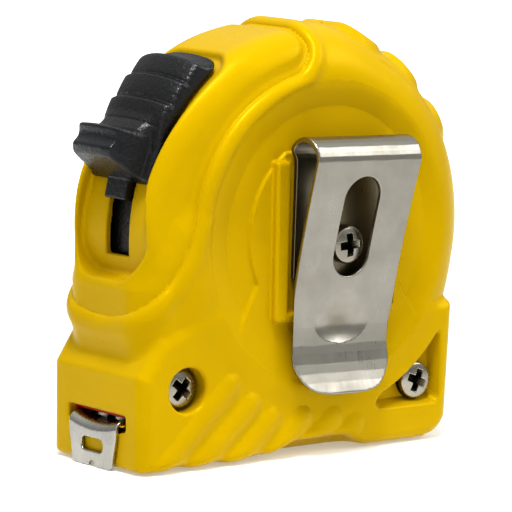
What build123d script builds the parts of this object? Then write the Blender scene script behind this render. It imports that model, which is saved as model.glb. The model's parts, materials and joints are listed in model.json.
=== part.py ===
"""Pocket tape measure, 3 m x 13 mm, with a sliding lock and a belt clip.

Frame: +X points forward out of the mouth, +Y is the belt clip side, +Z is up.
The origin lies on the base face, on the mid-plane, straight below the reel axis.
Lengths are millimetres.  Polar angles turn from +Z towards +X about the reel axis.
"""
import os
from math import cos, radians, sin

from build123d import *

os.makedirs("parts", exist_ok=True)

# Case: a round drum on a boxy base, with a raised pod that carries the lock
AXIS_Z = 33.5  # height of the reel axis
HALF_W = 11.3  # half width of the case at the base and at the side rings
WALL = 1.8
SIDE_WALL = 2.4  # beside the drum's hollow
FLOOR_T = 2.0
OVERCUT = 1.0  # how far a cut runs past the surface that it opens
DRUM_X = 1.2  # the drum's centre stands this far ahead of the reel axis
DRUM_R = 31.0
DRUM_EDGE = 7.5
POD_X = 4.2
POD_RISE = 0.6
POD_R = 31.3
POD_HALF_W = 9.8
POD_INNER_R = 25.0
POD_START, POD_END = 12.0, 108.0
FRONT_X = 34.6
REAR_X = -26.4
SHOULDER_Z = 13.0
REAR_TOP_Z = 24.5
ARCH_BACK, ARCH_FRONT = -9.5, 15.0
ARCH_Y, ARCH_H = 7.5, 2.5
CORNER_R = 2.0

# Side rings, the same on both sides
CREST_R = 22.3
CREASE_R = 19.0
PLATFORM_R = 15.1
RING_DEPTH = 0.9
PLATFORM_DEPTH = 0.4
LABEL_R, LABEL_T = 14.7, 0.25

# Lock channel in the pod, and the slot in its floor
CHANNEL_R = 31.4
CHANNEL_HALF_W = 7.6
CHANNEL_START, CHANNEL_END = 32.0, 99.0
CHANNEL_CUT = 10.0
SLOT_HALF_W = 2.3
SLOT_START, SLOT_END = 58.0, 94.5
SLOT_CUT = 4.0

# Blade: a cupped steel strip, wound on the reel
BLADE_HALF_W = 6.35
BLADE_T = 0.2
BLADE_SIDE_GAP = 0.5
BLADE_Z = 5.75  # underside of the cup at its middle
CUP_R = 20.2
COIL_R = 26.2
COIL_CORE_R = 23.5
STRIP_BACK, STRIP_FRONT = -15.0, 34.4

# Mouth
MOUTH_HALF_W = 7.0
MOUTH_TOP = 8.4
SILL_Z = 5.2
SILL_BACK = 24.0
PLATE_T = 0.3
PLATE_SET_BACK = 0.4
BUMPER_T, BUMPER_SIDE_T = 0.65, 0.4
BUMPER_BACK, BUMPER_DEPTH = FRONT_X - 2.6, 1.2

# Reel and its post
FLANGE_R = 26.4
FLANGE_T = 0.6
POST_R = 3.2
RUNNING_GAP = 0.05
POST_HALF = 9.6
POST_SLOT_W, POST_SLOT_H, POST_SLOT_HALF = 0.6, 2.8, 5.5
REEL_GAP = 0.15  # between the wound blade and the flanges
CORE_GAP, CORE_T = 0.1, 1.2
HUB_T = 1.4
WEB_T = 0.6
BOSS_R = 5.0
BOSS_FACE = 7.7
WASHER_T = 0.3
FLANGE_CLEAR_Y = 7.5  # nothing of the case is nearer to the mid-plane beside the flanges

# Screws
CASE_SCREWS = ((26.4, 12.1, 9.9), (-18.3, 9.4, 10.9))  # X, Z, height of the head's top
HEAD_R = 2.85
HEAD_T = 1.9
HEAD_ROUND = 0.9
CROSS_L, CROSS_W, CROSS_DEPTH = 3.2, 0.8, 1.1
CASE_SHANK_L, CLIP_SHANK_L = 13.0, 8.0
SHANK_R = 1.45
POST_OUT_R = 3.0
PILOT_DEPTH = 7.5
COUNTERBORE_R = 3.25
CUP_WALL = 1.1  # round the screw recesses, inside the case
SCREW_GAP, SCREW_BITE = 0.2, 0.2
RECESS_R = 27.2  # round edge of the three-cornered recess, about the reel axis
RECESS_BACK, RECESS_LOW = -22.9, 5.9
RECESS_W, RECESS_H = 12.4, 14.0

# Belt clip
CLIP_T = 0.8
CLIP_HALF_W = 9.6
CLIP_X = -1.4
CLIP_LEAN = 1.7  # degrees, about the clip screw
CLIP_LEG_LOW = 27.0
CLIP_TOP_Z = 48.5
LOOP_D = 7.1
CLIP_TIP_Z = 9.6
CLIP_TIP_CORNER = 4.5
CLIP_SLOT_Z, CLIP_SLOT_L, CLIP_SLOT_W = 35.0, 14.4, 6.8
PAD_BACK, PAD_FRONT = -16.0, 11.0
PAD_LOW, PAD_HIGH = 20.8, 44.8
PAD_Y = 12.0
PAD_CORNER = 1.5
PAD_RIM = 1.2  # what is left of the pad below the clip's pocket
POCKET_GAP = 1.0
POCKET_Y = 11.0

# End hook
HOOK_T = 0.7
HOOK_BACK = 34.75
HOOK_HALF_W = 5.7
HOOK_LOW = 0.25

reel_axis = Axis((0, 0, AXIS_Z), (0, 1, 0))
reel_plane = Plane.XY.offset(AXIS_Z)
cup_centre_z = BLADE_Z + CUP_R


def polar(radius, angle):
    """A point of the X-Z plane, given about the reel axis."""
    return (radius * sin(radians(angle)), AXIS_Z + radius * cos(radians(angle)))


def radial_plane(angle):
    """The half plane through the reel axis at an angle: local x is radius, local y is +Y."""
    s, c = sin(radians(angle)), cos(radians(angle))
    return Plane(origin=(0, 0, AXIS_Z), x_dir=(s, 0, c), z_dir=(-c, 0, s))


def side_plane(y):
    """A plane across the width, facing +Y, with local x towards -X and local y up."""
    return Plane(origin=(0, y, 0), x_dir=(-1, 0, 0), z_dir=(0, 1, 0))


def finish(part, label):
    """Label a finished piece and write it."""
    part.label = label
    export_step(part, f"parts/{label}.step")


# ---------------------------------------------------------------- case envelope
with BuildPart() as base_block:
    with BuildSketch(Plane.XZ):
        with BuildLine():
            Polyline(
                (REAR_X + 3.9, 0),
                (FRONT_X - 1.5, 0),
                (FRONT_X, 1.6),
                (FRONT_X, SHOULDER_Z + 1.3),
                (FRONT_X - 3.4, SHOULDER_Z + 6.8),
                (FRONT_X - 12.6, SHOULDER_Z + 10.8),
                (REAR_X + 0.3, REAR_TOP_Z),
                (REAR_X + 1.2, 2.6),
                close=True,
            )
        make_face()
    extrude(amount=HALF_W, both=True)
    with BuildSketch(Plane.XY):
        with Locations(((FRONT_X + REAR_X) / 2, 0)):
            RectangleRounded(FRONT_X - REAR_X, 2 * HALF_W, CORNER_R)
    extrude(amount=2 * AXIS_Z, mode=Mode.INTERSECT)
    # shallow arches along both lower edges; a flat strip is left between them
    for facing in (1, -1):
        with BuildSketch(side_plane(facing * ARCH_Y)):
            with BuildLine():
                Polyline(
                    (-ARCH_FRONT, 0),
                    (-ARCH_FRONT + 7.0, ARCH_H),
                    (-ARCH_BACK - 6.0, ARCH_H),
                    (-ARCH_BACK, 0),
                    close=True,
                )
            make_face()
        extrude(amount=facing * HALF_W, mode=Mode.SUBTRACT)

with BuildPart() as drum:
    with BuildSketch(reel_plane):
        with Locations((DRUM_X + DRUM_R / 2, 0)):
            rim = Rectangle(DRUM_R, 2 * HALF_W)
        fillet(rim.vertices().sort_by(Axis.X)[-2:], DRUM_EDGE)
    revolve(axis=Axis((DRUM_X, 0, AXIS_Z), (0, 1, 0)))

with BuildPart() as nose:
    with BuildSketch(Plane.XZ):
        with BuildLine():
            Polyline(
                (20.0, 10.0),
                (FRONT_X - 2.6, 10.0),
                (FRONT_X - 1.4, 16.5),
                (FRONT_X + 0.1, 22.5),
                (FRONT_X + 0.4, 27.0),
                (FRONT_X - 0.6, 32.0),
                (30.0, 39.0),
                (20.0, 40.0),
                close=True,
            )
        make_face()
    extrude(amount=HALF_W - 0.45, both=True)
    with BuildSketch(Plane.XY):
        with Locations((FRONT_X + 0.4, 0)):
            RectangleRounded(30.0, 2 * HALF_W - 0.9, 4.4, align=(Align.MAX, Align.CENTER))
    extrude(amount=2 * AXIS_Z, mode=Mode.INTERSECT)

with BuildPart() as pod:
    with BuildSketch(Plane.XZ):
        with Locations((POD_X, AXIS_Z + POD_RISE)):
            Circle(POD_R)
        with Locations((0, AXIS_Z)):
            Circle(POD_INNER_R, mode=Mode.SUBTRACT)
        with BuildLine():
            Polyline(
                (0, AXIS_Z),
                polar(3 * POD_R, POD_START),
                polar(3 * POD_R, (POD_START + POD_END) / 2),
                polar(3 * POD_R, POD_END),
                close=True,
            )
        make_face(mode=Mode.INTERSECT)
    extrude(amount=POD_HALF_W, both=True)
    outer = pod.faces().filter_by(GeomType.CYLINDER).sort_by(SortBy.AREA)[-1]
    fillet(outer.edges().filter_by(GeomType.CIRCLE), 2.5)

with BuildPart() as envelope:
    add(base_block.part)
    add(drum.part)
    add(nose.part)
    add(pod.part)
    # ring recesses on both sides
    for facing in (1, -1):
        with BuildSketch(reel_plane):
            with BuildLine():
                Polyline(
                    (0, facing * (HALF_W - PLATFORM_DEPTH)),
                    (PLATFORM_R, facing * (HALF_W - PLATFORM_DEPTH)),
                    (PLATFORM_R, facing * (HALF_W - RING_DEPTH)),
                    (CREASE_R, facing * (HALF_W - RING_DEPTH)),
                    (CREST_R, facing * HALF_W),
                    (CREST_R, facing * (HALF_W + OVERCUT)),
                    (0, facing * (HALF_W + OVERCUT)),
                    close=True,
                )
            make_face()
        revolve(axis=reel_axis, mode=Mode.SUBTRACT)
    # lock channel
    with BuildSketch(radial_plane(CHANNEL_START)):
        with Locations((CHANNEL_R, 0)):
            Rectangle(CHANNEL_CUT, 2 * CHANNEL_HALF_W, align=(Align.MIN, Align.CENTER))
    revolve(axis=reel_axis, revolution_arc=CHANNEL_END - CHANNEL_START, mode=Mode.SUBTRACT)
    # raised pad for the clip, open at its top end
    with BuildSketch(side_plane(HALF_W - RING_DEPTH)):
        with Locations((-(PAD_BACK + PAD_FRONT) / 2, (PAD_LOW + PAD_HIGH) / 2)):
            RectangleRounded(PAD_FRONT - PAD_BACK, PAD_HIGH - PAD_LOW, PAD_CORNER)
    extrude(amount=PAD_Y - HALF_W + RING_DEPTH)
    with BuildSketch(side_plane(POCKET_Y)):
        with Locations((-CLIP_X, PAD_LOW + PAD_RIM)):
            pocket_size = (2 * (CLIP_HALF_W + POCKET_GAP), PAD_HIGH - PAD_LOW)
            Rectangle(*pocket_size, align=(Align.CENTER, Align.MIN))
    extrude(amount=PAD_Y - POCKET_Y + OVERCUT, mode=Mode.SUBTRACT)
    # deep counterbore for the front screw
    with BuildSketch(side_plane(CASE_SCREWS[0][2] - HEAD_T)):
        with Locations((-CASE_SCREWS[0][0], CASE_SCREWS[0][1])):
            Circle(COUNTERBORE_R)
    extrude(amount=HALF_W, mode=Mode.SUBTRACT)
    # three-cornered recess round the rear screw
    with BuildSketch(side_plane(CASE_SCREWS[1][2] - HEAD_T)):
        with Locations((-RECESS_BACK, RECESS_LOW)):
            Rectangle(RECESS_W, RECESS_H, align=(Align.MAX, Align.MIN))
        with Locations((0, AXIS_Z)):
            Circle(RECESS_R, mode=Mode.SUBTRACT)
    extrude(amount=HALF_W, mode=Mode.SUBTRACT)
    # mouth
    with BuildSketch(Plane.XZ):
        with Locations((FRONT_X, (SILL_Z + MOUTH_TOP) / 2)):
            Rectangle(2 * WALL + OVERCUT, MOUTH_TOP - SILL_Z)
    extrude(amount=MOUTH_HALF_W, both=True, mode=Mode.SUBTRACT)

# ---------------------------------------------------------------- case cavity
with BuildPart() as cavity:
    with BuildSketch(reel_plane):
        with Locations((DRUM_X + (DRUM_R - WALL) / 2, 0)):
            hollow = Rectangle(DRUM_R - WALL, 2 * (HALF_W - SIDE_WALL))
        fillet(hollow.vertices().sort_by(Axis.X)[-2:], DRUM_EDGE - 2.0)
    revolve(axis=Axis((DRUM_X, 0, AXIS_Z), (0, 1, 0)))
    with BuildSketch(Plane.XZ):
        with BuildLine():
            Polyline(
                (REAR_X + 3.1, FLOOR_T),
                (SILL_BACK, FLOOR_T),
                (SILL_BACK, SILL_Z),
                (FRONT_X - WALL, SILL_Z),
                (FRONT_X - WALL, SHOULDER_Z - 0.5),
                (FRONT_X - 5.3, SHOULDER_Z + 5.2),
                (FRONT_X - 8.0, SHOULDER_Z + 9.0),
                (REAR_X + 2.1, SHOULDER_Z + 8.0),
                close=True,
            )
        make_face()
    extrude(amount=HALF_W - FLOOR_T, both=True)
    # thick floor over the arches
    for facing in (1, -1):
        with BuildSketch(side_plane(facing * (ARCH_Y - OVERCUT))):
            with Locations((-(ARCH_BACK + ARCH_FRONT) / 2, 0)):
                Rectangle(ARCH_FRONT - ARCH_BACK + 2 * FLOOR_T, 2 * (ARCH_H + FLOOR_T))
        extrude(amount=facing * HALF_W, mode=Mode.SUBTRACT)
    # posts that stay solid inside the hollow: two screw posts and the centre bosses
    with BuildSketch(Plane.XZ):
        with Locations(*[(x, z) for x, z, _ in CASE_SCREWS]):
            Circle(POST_OUT_R)
    extrude(amount=HALF_W, both=True, mode=Mode.SUBTRACT)
    for facing in (1, -1):
        with BuildSketch(side_plane(facing * BOSS_FACE)):
            with Locations((0, AXIS_Z)):
                Circle(BOSS_R)
        extrude(amount=facing * HALF_W, mode=Mode.SUBTRACT)
    # solid backing behind the two screw recesses of the clip side
    with BuildSketch(side_plane(BLADE_HALF_W + BLADE_SIDE_GAP)):
        with Locations((-CASE_SCREWS[0][0], CASE_SCREWS[0][1])):
            Circle(COUNTERBORE_R + CUP_WALL)
    extrude(amount=HALF_W, mode=Mode.SUBTRACT)
    with BuildSketch(side_plane(FLANGE_CLEAR_Y)):
        with Locations((-REAR_X, 0)):
            Rectangle(24, 21, align=(Align.MAX, Align.MIN))
        with Locations((0, AXIS_Z)):
            Circle(RECESS_R - CUP_WALL, mode=Mode.SUBTRACT)
    extrude(amount=HALF_W, mode=Mode.SUBTRACT)
    # seats of the centre post, and the slot that the lock's stem runs in
    with BuildSketch(Plane.XZ):
        with Locations((0, AXIS_Z)):
            Circle(POST_R)
    extrude(amount=POST_HALF, both=True)
    with BuildSketch(radial_plane(SLOT_START)):
        with Locations((CHANNEL_R - OVERCUT, 0)):
            Rectangle(SLOT_CUT, 2 * SLOT_HALF_W)
    revolve(axis=reel_axis, revolution_arc=SLOT_END - SLOT_START)

with BuildPart() as case_clip_side:
    add(envelope.part)
    add(cavity.part, mode=Mode.SUBTRACT)
    split(bisect_by=Plane.XZ, keep=Keep.BOTTOM)
    for x, z, _ in CASE_SCREWS:
        with BuildSketch(side_plane(-OVERCUT)):
            with Locations((-x, z)):
                Circle(SHANK_R + SCREW_GAP)
        extrude(amount=HALF_W + OVERCUT, mode=Mode.SUBTRACT)
    with BuildSketch(side_plane(POST_HALF - OVERCUT)):
        with Locations((0, AXIS_Z)):
            Circle(SHANK_R + SCREW_GAP)
    extrude(amount=HALF_W - POST_HALF + 2 * OVERCUT, mode=Mode.SUBTRACT)
finish(case_clip_side.part, "case_clip_side")

with BuildPart() as case_plain_side:
    add(envelope.part)
    add(cavity.part, mode=Mode.SUBTRACT)
    split(bisect_by=Plane.XZ, keep=Keep.TOP)
    for x, z, _ in CASE_SCREWS:
        with BuildSketch(side_plane(OVERCUT)):
            with Locations((-x, z)):
                Circle(SHANK_R - SCREW_BITE)
        extrude(amount=-PILOT_DEPTH - OVERCUT, mode=Mode.SUBTRACT)
finish(case_plain_side.part, "case_plain_side")

# ---------------------------------------------------------------- mouth fittings
with BuildPart() as wear_plate:
    with BuildSketch(Plane.XY.offset(SILL_Z)):
        with Locations((SILL_BACK, 0)):
            plate_size = (FRONT_X - PLATE_SET_BACK - SILL_BACK, 2 * MOUTH_HALF_W - 0.2)
            Rectangle(*plate_size, align=(Align.MIN, Align.CENTER))
    extrude(amount=PLATE_T)
finish(wear_plate.part, "wear_plate")

with BuildPart() as mouth_bumper:
    with BuildSketch(Plane.YZ.offset(BUMPER_BACK)):
        with Locations((0, MOUTH_TOP)):
            Rectangle(2 * MOUTH_HALF_W, BUMPER_T, align=(Align.CENTER, Align.MAX))
        with Locations((MOUTH_HALF_W, MOUTH_TOP), (-MOUTH_HALF_W + BUMPER_SIDE_T, MOUTH_TOP)):
            Rectangle(BUMPER_SIDE_T, MOUTH_TOP - SILL_Z - PLATE_T, align=(Align.MAX, Align.MAX))
    extrude(amount=BUMPER_DEPTH)
finish(mouth_bumper.part, "mouth_bumper")

# ---------------------------------------------------------------- reel body
with BuildPart() as centre_post:
    with BuildSketch(Plane.XZ):
        with Locations((0, AXIS_Z)):
            Circle(POST_R)
    extrude(amount=POST_HALF, both=True)
    # slot for the inner end of the spring
    with BuildSketch(Plane.XZ):
        with Locations((0, AXIS_Z - POST_R)):
            Rectangle(POST_SLOT_W, POST_SLOT_H)
    extrude(amount=POST_SLOT_HALF, both=True, mode=Mode.SUBTRACT)
    # pilot hole for the clip screw
    with BuildSketch(side_plane(POST_HALF)):
        with Locations((0, AXIS_Z)):
            Circle(SHANK_R)
    extrude(amount=-PILOT_DEPTH, mode=Mode.SUBTRACT)
finish(centre_post.part, "centre_post")

with BuildPart() as reel_drum:
    with BuildSketch(reel_plane):
        with BuildLine():
            Polyline(
                (POST_R + RUNNING_GAP, -BLADE_HALF_W - REEL_GAP - FLANGE_T),
                (FLANGE_R, -BLADE_HALF_W - REEL_GAP - FLANGE_T),
                (FLANGE_R, -BLADE_HALF_W - REEL_GAP),
                (COIL_CORE_R - CORE_GAP, -BLADE_HALF_W - REEL_GAP),
                (COIL_CORE_R - CORE_GAP, BLADE_HALF_W + REEL_GAP),
                (COIL_CORE_R - CORE_GAP - CORE_T, BLADE_HALF_W + REEL_GAP),
                (COIL_CORE_R - CORE_GAP - CORE_T, -BLADE_HALF_W),
                (POST_R + HUB_T, -BLADE_HALF_W),
                (POST_R + HUB_T, -BLADE_HALF_W + WEB_T),
                (POST_R + RUNNING_GAP, -BLADE_HALF_W + WEB_T),
                close=True,
            )
        make_face()
    revolve(axis=reel_axis)
finish(reel_drum.part, "reel_drum")

with BuildPart() as reel_cover:
    with BuildSketch(side_plane(BLADE_HALF_W + REEL_GAP)):
        with Locations((0, AXIS_Z)):
            Circle(FLANGE_R)
    extrude(amount=FLANGE_T)
    with BuildSketch(side_plane(BLADE_HALF_W - WEB_T)):
        with Locations((0, AXIS_Z)):
            Circle(POST_R + HUB_T)
    extrude(amount=WEB_T + REEL_GAP)
    with BuildSketch(side_plane(0)):
        with Locations((0, AXIS_Z)):
            Circle(POST_R + RUNNING_GAP)
    extrude(amount=HALF_W, mode=Mode.SUBTRACT)
finish(reel_cover.part, "reel_cover")

with BuildPart() as blade_coil:
    with BuildSketch(Plane.XZ):
        with Locations((0, AXIS_Z)):
            Circle(COIL_R)
            Circle(COIL_CORE_R, mode=Mode.SUBTRACT)
    extrude(amount=BLADE_HALF_W, both=True)
finish(blade_coil.part, "blade_coil")

SPRING_T = 0.25
SPRING_PITCH = 1.5
SPRING_START = 4.2
SPRING_TURNS = 11


def spiral(radius):
    """Half turns of growing radius, centred by turns on either side of the reel axis."""
    points = []
    for half in range(2 * SPRING_TURNS):
        swing = 1 if half % 2 == 0 else -1
        r = radius + half * SPRING_PITCH / 2
        shift = -swing * SPRING_PITCH / 4
        points.append(((shift + swing * r, AXIS_Z), (shift, AXIS_Z + swing * r), (shift - swing * r, AXIS_Z)))
    return points


with BuildPart() as power_spring:
    with BuildSketch(Plane.XZ):
        with BuildLine():
            inner_turns = spiral(SPRING_START)
            outer_turns = spiral(SPRING_START + SPRING_T)
            for turns in (inner_turns, outer_turns):
                for start, middle, end in turns:
                    ThreePointArc(start, middle, end)
            Line(inner_turns[0][0], outer_turns[0][0])
            Line(inner_turns[-1][2], outer_turns[-1][2])
        make_face()
    extrude(amount=BLADE_HALF_W - 1.0, both=True)
finish(power_spring.part, "power_spring")

with BuildPart() as blade_anchor:
    with BuildSketch(radial_plane(-90)):
        with Locations((COIL_CORE_R - 1.8, 0)):
            Rectangle(1.0, 6)
    revolve(axis=reel_axis, revolution_arc=14)
finish(blade_anchor.part, "blade_anchor")

with BuildPart() as reel_washers:
    for facing in (1, -1):
        with BuildSketch(side_plane(facing * (BOSS_FACE - 0.1 - WASHER_T / 2))):
            with Locations((0, AXIS_Z)):
                Circle(BOSS_R + 1.5)
                Circle(POST_R + RUNNING_GAP, mode=Mode.SUBTRACT)
        extrude(amount=WASHER_T / 2, both=True)
finish(reel_washers.part, "reel_washers")

# ---------------------------------------------------------------- blade and hook
def cup_band(radius, thickness, half_width):
    """The cross-section of a cupped strip, in the Y-Z plane."""
    with Locations((0, cup_centre_z)):
        Circle(radius)
        Circle(radius - thickness, mode=Mode.SUBTRACT)
    with Locations((0, cup_centre_z - CUP_R)):
        Rectangle(2 * half_width, CUP_R, mode=Mode.INTERSECT)


RIVETS = ((31.2, 2.2), (31.2, -2.2))
RIVET_R, RIVET_GAP = 0.9, 0.1
HOOK_PLAY = 0.8
HOOK_CUP_R = CUP_R - BLADE_T - RUNNING_GAP
FLANGE_BACK, FLANGE_HALF_W = 27.6, 4.0
HOOK_NECK = 1.2

with BuildPart() as blade_strip:
    with BuildSketch(Plane.YZ.offset(STRIP_BACK)):
        cup_band(CUP_R, BLADE_T, BLADE_HALF_W)
    extrude(amount=STRIP_FRONT - STRIP_BACK)
    with BuildSketch(Plane.XY):
        with Locations(*RIVETS):
            Circle(RIVET_R)
    extrude(amount=AXIS_Z, mode=Mode.SUBTRACT)
finish(blade_strip.part, "blade_strip")

with BuildPart() as hook_rivets:
    with BuildSketch(Plane.XY.offset(BLADE_Z - 0.1)):
        with Locations(*RIVETS):
            Circle(RIVET_R)
    extrude(amount=1.5)
    with BuildSketch(Plane.XY.offset(BLADE_Z + 1.35)):
        with Locations(*RIVETS):
            Circle(RIVET_R + 0.5)
    extrude(amount=0.4)
finish(hook_rivets.part, "hook_rivets")

with BuildPart() as end_hook:
    with BuildSketch(Plane.YZ.offset(FLANGE_BACK)):
        cup_band(HOOK_CUP_R, HOOK_T, FLANGE_HALF_W)
    extrude(amount=HOOK_BACK - FLANGE_BACK)
    with BuildSketch(Plane.YZ.offset(HOOK_BACK - HOOK_NECK)):
        cup_band(HOOK_CUP_R, HOOK_T, HOOK_HALF_W)
    extrude(amount=HOOK_NECK)
    with BuildSketch(Plane.YZ.offset(HOOK_BACK)):
        with BuildLine():
            Polyline(
                (-HOOK_HALF_W, 9),
                (-HOOK_HALF_W, 5.2),
                (-HOOK_HALF_W + 0.8, HOOK_LOW + 0.8),
                (-HOOK_HALF_W + 1.6, HOOK_LOW),
                (HOOK_HALF_W - 1.6, HOOK_LOW),
                (HOOK_HALF_W - 0.8, HOOK_LOW + 0.8),
                (HOOK_HALF_W, 5.2),
                (HOOK_HALF_W, 9),
                close=True,
            )
        make_face()
        with Locations((0, cup_centre_z)):
            Circle(HOOK_CUP_R - HOOK_T, mode=Mode.SUBTRACT)
        with Locations((0, 3.3)):
            SlotOverall(5.2, 1.9, mode=Mode.SUBTRACT)
        with Locations((0, HOOK_LOW)):
            Circle(0.75, mode=Mode.SUBTRACT)
    extrude(amount=HOOK_T)
    with BuildSketch(Plane.XY):
        for x, y in RIVETS:
            with Locations((x - HOOK_PLAY / 2, y)):
                slot_w = 2 * (RIVET_R + RIVET_GAP)
                SlotOverall(slot_w + HOOK_PLAY, slot_w)
    extrude(amount=AXIS_Z, mode=Mode.SUBTRACT)
finish(end_hook.part, "end_hook")

# ---------------------------------------------------------------- lock
BUTTON_HALF_W = 7.2
BUTTON_R = CHANNEL_R + 0.25
BUTTON_START, BUTTON_END = 37.0, 74.5
STEM_START, STEM_END = 61.0, 79.5
STEM_HALF_W = SLOT_HALF_W - 0.2
STEM_ROOT = 0.4
TONGUE_R = 28.9
TONGUE_T = 0.8
TONGUE_START, TONGUE_END = 54.0, 109.0
TONGUE_W = 9.0

with BuildPart() as lock_button:
    with BuildSketch(Plane.XZ):
        with BuildLine():
            crown = Polyline(
                polar(BUTTON_R, BUTTON_START),
                polar(33.6, 38.0),
                polar(35.2, 43.0),
                polar(36.0, 50.0),
                polar(36.2, 60.0),
                polar(38.2, 64.5),
                polar(38.2, 67.5),
                polar(37.0, 69.5),
                polar(BUTTON_R, BUTTON_END),
            )
            ThreePointArc(
                crown @ 1,
                polar(BUTTON_R, (BUTTON_START + BUTTON_END) / 2),
                crown @ 0,
            )
        make_face()
    extrude(amount=BUTTON_HALF_W, both=True)
    with BuildSketch(radial_plane(STEM_START)):
        with Locations((TONGUE_R + TONGUE_T, 0)):
            stem_size = (BUTTON_R + STEM_ROOT - TONGUE_R - TONGUE_T, 2 * STEM_HALF_W)
            Rectangle(*stem_size, align=(Align.MIN, Align.CENTER))
    revolve(axis=reel_axis, revolution_arc=STEM_END - STEM_START)
finish(lock_button.part, "lock_button")

with BuildPart() as lock_tongue:
    with BuildSketch(radial_plane(TONGUE_START)):
        with Locations((TONGUE_R + TONGUE_T / 2, 0)):
            Rectangle(TONGUE_T, TONGUE_W)
    revolve(axis=reel_axis, revolution_arc=TONGUE_END - TONGUE_START)
finish(lock_tongue.part, "lock_tongue")

SHOE_BACK, SHOE_FRONT = 29.75, 31.8
SHOE_LOW, SHOE_STEP, SHOE_TOP = 9.0, 14.2, 17.6
SHOE_HALF_W, SHOE_NECK_HALF_W = 6.5, 4.0
SHOE_ARM_BACK, SHOE_ARM_T = 23.2, 1.2
SHOE_BEVEL = 3.0
PAD_MID_Y, PAD_W, PAD_T = 5.5, 1.7, 0.9

with BuildPart() as brake_shoe:
    with BuildSketch(Plane.YZ.offset(SHOE_BACK)):
        with Locations((0, SHOE_LOW)):
            Rectangle(2 * SHOE_HALF_W, SHOE_STEP - SHOE_LOW, align=(Align.CENTER, Align.MIN))
            Rectangle(2 * SHOE_NECK_HALF_W, SHOE_TOP - SHOE_LOW, align=(Align.CENTER, Align.MIN))
    extrude(amount=SHOE_FRONT - SHOE_BACK)
    with BuildSketch(Plane.XY.offset(SHOE_TOP - SHOE_ARM_T)):
        with Locations((SHOE_ARM_BACK, 0)):
            arm_size = (SHOE_BACK - SHOE_ARM_BACK, 2 * SHOE_NECK_HALF_W)
            Rectangle(*arm_size, align=(Align.MIN, Align.CENTER))
    extrude(amount=SHOE_ARM_T)
    # sloping front, to clear the case's shoulder
    with BuildSketch(Plane.XZ):
        with BuildLine():
            Polyline(
                (SHOE_FRONT + 1, 11),
                (SHOE_FRONT + 1, 18),
                (SHOE_FRONT - SHOE_BEVEL, 18),
                close=True,
            )
        make_face()
    extrude(amount=HALF_W, both=True, mode=Mode.SUBTRACT)
finish(brake_shoe.part, "brake_shoe")

with BuildPart() as brake_pad:
    for facing in (1, -1):
        with BuildSketch(Plane.XY.offset(SHOE_LOW - PAD_T)):
            with Locations((SHOE_BACK, facing * PAD_MID_Y)):
                Rectangle(SHOE_FRONT - SHOE_BACK, PAD_W, align=(Align.MIN, Align.CENTER))
        extrude(amount=PAD_T)
finish(brake_pad.part, "brake_pad")

# ---------------------------------------------------------------- screws
def pan_screw(x, z, head_top, length):
    """A pan head screw along Y: its head, its shank and a cross recess."""
    with BuildPart() as screw:
        with BuildSketch(side_plane(head_top - HEAD_T)):
            with Locations((-x, z)):
                Circle(HEAD_R)
        extrude(amount=HEAD_T)
        fillet(screw.edges().filter_by(GeomType.CIRCLE).sort_by(Axis.Y)[-1:], HEAD_ROUND)
        with BuildSketch(side_plane(head_top - HEAD_T)):
            with Locations((-x, z)):
                Circle(SHANK_R)
        extrude(amount=-length)
        with BuildSketch(side_plane(head_top)):
            with Locations((-x, z)):
                Rectangle(CROSS_L, CROSS_W)
                Rectangle(CROSS_W, CROSS_L)
        extrude(amount=-CROSS_DEPTH, mode=Mode.SUBTRACT)
    return screw.part


with BuildPart() as case_screws:
    for screw_x, screw_z, screw_top in CASE_SCREWS:
        add(pan_screw(screw_x, screw_z, screw_top, CASE_SHANK_L))
finish(case_screws.part, "case_screws")

with BuildPart() as clip_screw:
    add(pan_screw(0, AXIS_Z, POCKET_Y + CLIP_T + HEAD_T, CLIP_SHANK_L))
finish(clip_screw.part, "clip_screw")

# ---------------------------------------------------------------- belt clip and label
with BuildPart() as belt_clip:
    with BuildSketch(Plane.YZ.offset(CLIP_X)):
        with BuildLine():
            FilletPolyline(
                (POCKET_Y, CLIP_LEG_LOW),
                (POCKET_Y, CLIP_TOP_Z),
                (POCKET_Y + LOOP_D + 0.3, CLIP_TOP_Z),
                (13.5, 26.0),
                (12.1, 14.6),
                (14.5, CLIP_TIP_Z),
                radius=(3.1, 2.9, 30.0, 2.5),
            )
            offset(amount=CLIP_T, side=Side.LEFT)
        make_face()
    extrude(amount=CLIP_HALF_W, both=True)
    # round the free end, and open the slot that lets a driver reach the screw
    with BuildSketch(side_plane(POCKET_Y + CLIP_T + 0.1)):
        with Locations((-CLIP_X, CLIP_SLOT_Z)):
            SlotOverall(CLIP_SLOT_L, CLIP_SLOT_W, rotation=90)
    extrude(amount=LOOP_D + CLIP_T, mode=Mode.SUBTRACT)
    with BuildSketch(side_plane(0)):
        with Locations((-CLIP_X, CLIP_TIP_Z)):
            blank_size = (2 * CLIP_HALF_W, 2 * CLIP_TOP_Z)
            RectangleRounded(*blank_size, CLIP_TIP_CORNER, align=(Align.CENTER, Align.MIN))
    extrude(amount=2 * PAD_Y, mode=Mode.INTERSECT)
    with BuildSketch(side_plane(0)):
        with Locations((0, AXIS_Z)):
            Circle(SHANK_R + SCREW_GAP)
    extrude(amount=POCKET_Y + CLIP_T + OVERCUT, mode=Mode.SUBTRACT)
clip_part = belt_clip.part.rotate(reel_axis, -CLIP_LEAN)
finish(clip_part, "belt_clip")

with BuildPart() as side_label:
    with BuildSketch(side_plane(-HALF_W + PLATFORM_DEPTH)):
        with Locations((0, AXIS_Z)):
            Circle(LABEL_R)
    extrude(amount=-LABEL_T)
finish(side_label.part, "side_label")
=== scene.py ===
import json
from math import cos, pi, radians, sin

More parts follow.
